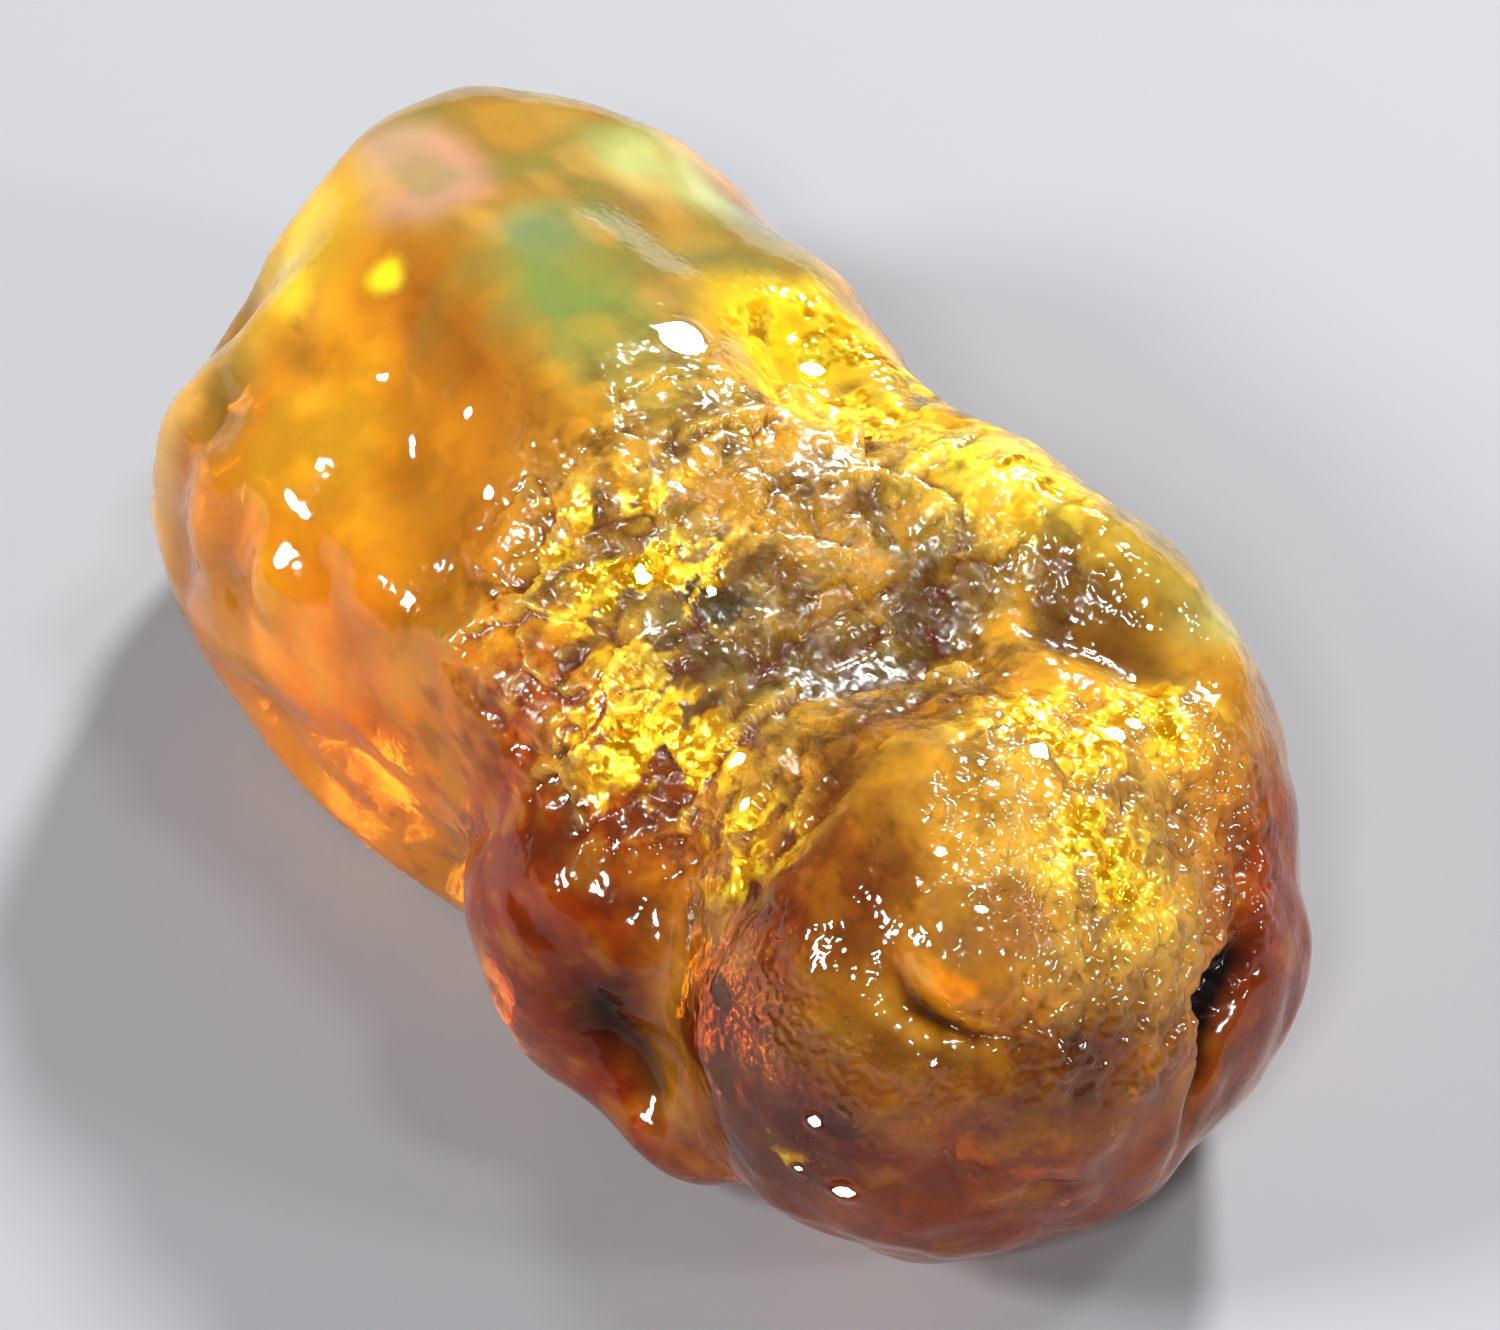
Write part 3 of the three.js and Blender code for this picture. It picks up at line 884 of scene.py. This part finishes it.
class Nodes:
    """A short way to write a material's node tree."""

    def __init__(self, material):
        material.use_nodes = True
        self.tree = material.node_tree
        self.tree.nodes.clear()
        self.link = self.tree.links.new

    def add(self, kind, **values):
        node = self.tree.nodes.new(kind)
        for key, value in values.items():
            setattr(node, key, value)
        return node

    def put(self, socket, value):
        """Links a socket to another one, or sets it to a plain value."""
        if isinstance(value, bpy.types.NodeSocket):
            self.link(value, socket)
        else:
            socket.default_value = value

    def math(self, operation, a, b):
        node = self.add("ShaderNodeMath", operation=operation)
        self.put(node.inputs[0], a)
        self.put(node.inputs[1], b)
        return node.outputs[0]

    def scaled(self, vector, by):
        node = self.add("ShaderNodeVectorMath", operation="MULTIPLY")
        self.put(node.inputs[0], vector)
        self.put(node.inputs[1], by)
        return node.outputs["Vector"]

    def place(self):
        """The point in the part's frame, in millimetres."""
        return self.scaled(self.add("ShaderNodeTexCoord").outputs["Object"], (1 / MM,) * 3)

    def stored(self, name):
        """Three numbers that the mesh keeps for each of its points."""
        return self.add("ShaderNodeAttribute", attribute_name=name).outputs["Vector"]

    def parts(self, vector):
        node = self.add("ShaderNodeSeparateXYZ")
        self.link(vector, node.inputs[0])
        return node.outputs

    def noise(self, at, size, detail, rough=0.5):
        node = self.add("ShaderNodeTexNoise")
        self.put(node.inputs["Vector"], at)
        node.inputs["Scale"].default_value = 1.0 / size
        node.inputs["Detail"].default_value = detail
        node.inputs["Roughness"].default_value = rough
        return node.outputs["Fac"]

    def ramp(self, value, low, high, to_low=0.0, to_high=1.0):
        node = self.add("ShaderNodeMapRange", interpolation_type="SMOOTHSTEP")
        self.put(node.inputs["Value"], value)
        numbers = {"From Min": low, "From Max": high, "To Min": to_low, "To Max": to_high}
        for name, number in numbers.items():
            node.inputs[name].default_value = number
        return node.outputs["Result"]

    def mix(self, share, a, b):
        node = self.add("ShaderNodeMix", data_type="RGBA")
        self.put(node.inputs["Factor"], share)
        self.put(node.inputs[6], a)
        self.put(node.inputs[7], b)
        return node.outputs[2]

    def between(self, share, colours):
        """A colour from the darker to the paler of two."""
        darker, paler = colours
        return self.mix(share, linear(*darker), linear(*paler))

    def output(self, surface):
        node = self.add("ShaderNodeOutputMaterial")
        self.link(surface.outputs["BSDF"], node.inputs["Surface"])
        return node


def fine_grain(t, at, torn):
    """Grain too fine for the mesh, strongest where the skin is torn."""
    bump = t.add("ShaderNodeBump")
    t.put(bump.inputs["Strength"], t.ramp(torn, 0.0, 1.0, 0.08, 0.5))
    bump.inputs["Distance"].default_value = 0.04 * MM
    t.link(t.noise(at, 0.1, 0.0), bump.inputs["Height"])
    return bump.outputs["Normal"]


def amber_shader(t):
    """A shader with the values that are the same all over the amber."""
    shader = t.add("ShaderNodeBsdfPrincipled")
    shader.subsurface_method = "BURLEY"
    shader.inputs["IOR"].default_value = IOR
    shader.inputs["Specular IOR Level"].default_value = SPECULAR
    shader.inputs["Subsurface Weight"].default_value = SCATTERED
    shader.inputs["Subsurface Radius"].default_value = SCATTER_RADII
    shader.inputs["Subsurface Scale"].default_value = SCATTER_DISTANCE * MM
    return shader


def amber_material():
    """Glossy, see-through and light-filled, with golden cracks, matt patches and painted shade in its
    clefts.
    """
    material = bpy.data.materials.new("amber")
    t = Nodes(material)
    at = t.place()
    colour = t.stored("tint")
    cleft_shade, clear, gold = t.parts(t.stored("marks"))
    golden, torn, matt = t.parts(t.stored("relief"))

    # Broken internal faces that throw back gold, in torn patches full of specks.
    fine = t.noise(at, 0.2, 2.0, 0.6)
    patch = t.noise(t.scaled(at, (1.0, 0.8, 1.0)), 0.55, 2.0, 0.6)
    share = t.math("MULTIPLY", gold, t.ramp(t.math("ADD", patch, golden), 0.56, 0.68))
    speck = t.ramp(fine, 0.40, 0.60)
    colour = t.mix(share, colour, t.between(speck, INNER_GOLD))
    # Painted shade darkens the clefts and makes them less clear.
    colour = t.mix(cleft_shade, colour, linear(*CLEFT_SHADE_COLOUR))
    clear = t.math("MULTIPLY", clear, t.math("SUBTRACT", 1.0, t.math("MAXIMUM", cleft_shade, share)))

    shader = amber_shader(t)
    t.put(shader.inputs["Base Color"], colour)
    t.put(shader.inputs["Metallic"], t.math("MULTIPLY", share, 0.75))
    t.put(shader.inputs["Roughness"], t.math("MULTIPLY", matt, t.ramp(fine, 0.3, 0.7, 0.6, 1.4)))
    t.put(shader.inputs["Transmission Weight"], clear)
    t.put(shader.inputs["Normal"], fine_grain(t, at, torn))

    absorb = t.add("ShaderNodeVolumeAbsorption")
    absorb.inputs["Color"].default_value = ABSORPTION_COLOUR
    absorb.inputs["Density"].default_value = ABSORPTION_DENSITY
    t.link(absorb.outputs["Volume"], t.output(shader).inputs["Volume"])
    return material


def flake_material():
    """Bright gold, from deeper to paler, with glossy and duller spots."""
    material = bpy.data.materials.new("sealed_cracks")
    t = Nodes(material)
    at = t.place()
    tone = t.ramp(t.noise(at, 0.25, 1.0), 0.35, 0.65)
    shader = t.add("ShaderNodeBsdfPrincipled")
    t.put(shader.inputs["Base Color"], t.between(tone, FLAKE_GOLD))
    t.put(shader.inputs["Roughness"], t.ramp(t.noise(at, 0.1, 0.0), 0.3, 0.7, 0.1, 0.4))
    shader.inputs["Metallic"].default_value = 0.75
    t.output(shader)
    return material


def debris_material():
    """Dull, nearly black brown."""
    material = bpy.data.materials.new("plant_debris")
    t = Nodes(material)
    tone = t.ramp(t.noise(t.place(), 0.06, 1.0), 0.35, 0.65)
    shader = t.add("ShaderNodeBsdfPrincipled")
    t.put(shader.inputs["Base Color"], t.between(tone, DEBRIS_BROWN))
    t.put(shader.inputs["Roughness"], t.ramp(tone, 0.0, 1.0, 0.5, 0.9))
    t.output(shader)
    return material


def floor_material():
    """Plain matt grey."""
    material = bpy.data.materials.new("pale_floor")
    t = Nodes(material)
    shader = t.add("ShaderNodeBsdfPrincipled")
    shader.inputs["Base Color"].default_value = linear(*FLOOR_GREY)
    shader.inputs["Roughness"].default_value = 0.75
    t.output(shader)
    return material


# ---------------------------------------------------------------- the scene


def new_object(name, verts, tris, material, smooth=False):
    """A mesh object in the scene from points in millimetres and their triangles."""
    mesh = bpy.data.meshes.new(name)
    mesh.from_pydata((verts * MM).tolist(), [], tris.tolist())
    mesh.update()
    if smooth:
        mesh.shade_smooth()
    mesh.materials.append(material)
    obj = bpy.data.objects.new(name, mesh)
    bpy.context.scene.collection.objects.link(obj)
    return obj


def store(obj, name, values):
    """Keeps three numbers for each point of the mesh, for its material to read."""
    data = obj.data.attributes.new(name, "FLOAT_VECTOR", "POINT").data
    data.foreach_set("vector", values.astype(np.float32).ravel())


verts, tris, looks = stone_mesh(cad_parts[STONE])
stone = new_object("amber_stone", verts, tris, amber_material(), smooth=True)
for name, values in looks.items():
    store(stone, name, values)
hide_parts(STONE)
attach(stone, "root")

gold = looks["marks"][:, 2]
flakes = new_object("sealed_flakes", *flake_mesh(verts, tris, gold), flake_material())
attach(flakes, "root")

debris = new_object("sealed_debris", *debris_mesh(), debris_material(), smooth=True)
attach(debris, "root")

# The floor reaches this far each way, and lies a hair below the stone, in millimetres.
FLOOR_REACH = 400.0
FLOOR_DROP = 0.02
corners = np.array([(x, y, -FLOOR_DROP) for x, y in ((-1, -1), (1, -1), (1, 1), (-1, 1))])
corners[:, :2] *= FLOOR_REACH
floor = new_object("floor", corners, np.array([(0, 1, 2), (0, 2, 3)]), floor_material())


def soft_light(name, place, size, power):
    """A round light aimed at the stone: its place in millimetres, size in metres and power in watts."""
    lamp = bpy.data.lights.new(name, "AREA")
    lamp.shape = "DISK"
    lamp.size = size
    lamp.energy = power
    obj = bpy.data.objects.new(name, lamp)
    obj.location = Vector(place) * MM
    obj.rotation_euler = Vector(place).to_track_quat("Z", "Y").to_euler()
    bpy.context.scene.collection.objects.link(obj)


LIGHTS = [
    ("key", KEY, 0.036, 1.42),
    ("right", 300.0 * direction(120, 27), 0.04, 0.45),
    ("top", 300.0 * direction(150, 66), 0.05, 0.3),
    ("front", 300.0 * direction(35, 50), 0.042, 0.5),
    ("side", SIDE, 0.07, 1.15),
]
for light in LIGHTS:
    soft_light(*light)

world = bpy.data.worlds.new("studio")
bpy.context.scene.world = world
world.use_nodes = True
world.node_tree.nodes["Background"].inputs["Color"].default_value = (0.80, 0.84, 0.90, 1.0)
world.node_tree.nodes["Background"].inputs["Strength"].default_value = 0.15
bpy.context.scene.view_settings.view_transform = "Standard"

# Five small lights need no light tree. The stone is lit through itself, so light that only bounces off
# it onto the floor is left out.
bpy.context.scene.cycles.use_light_tree = False
bpy.context.scene.cycles.caustics_reflective = False

camera_data = bpy.data.cameras.new("camera")
camera_data.lens = 175.0
camera_data.sensor_width = 36.0
camera_data.clip_start = 0.002
camera_data.clip_end = 10.0
camera = bpy.data.objects.new("camera", camera_data)
camera.location = Vector(VIEWER) * MM
camera.rotation_euler = Vector(VIEWER - TARGET).to_track_quat("Z", "Y").to_euler()
bpy.context.scene.collection.objects.link(camera)
bpy.context.scene.camera = camera
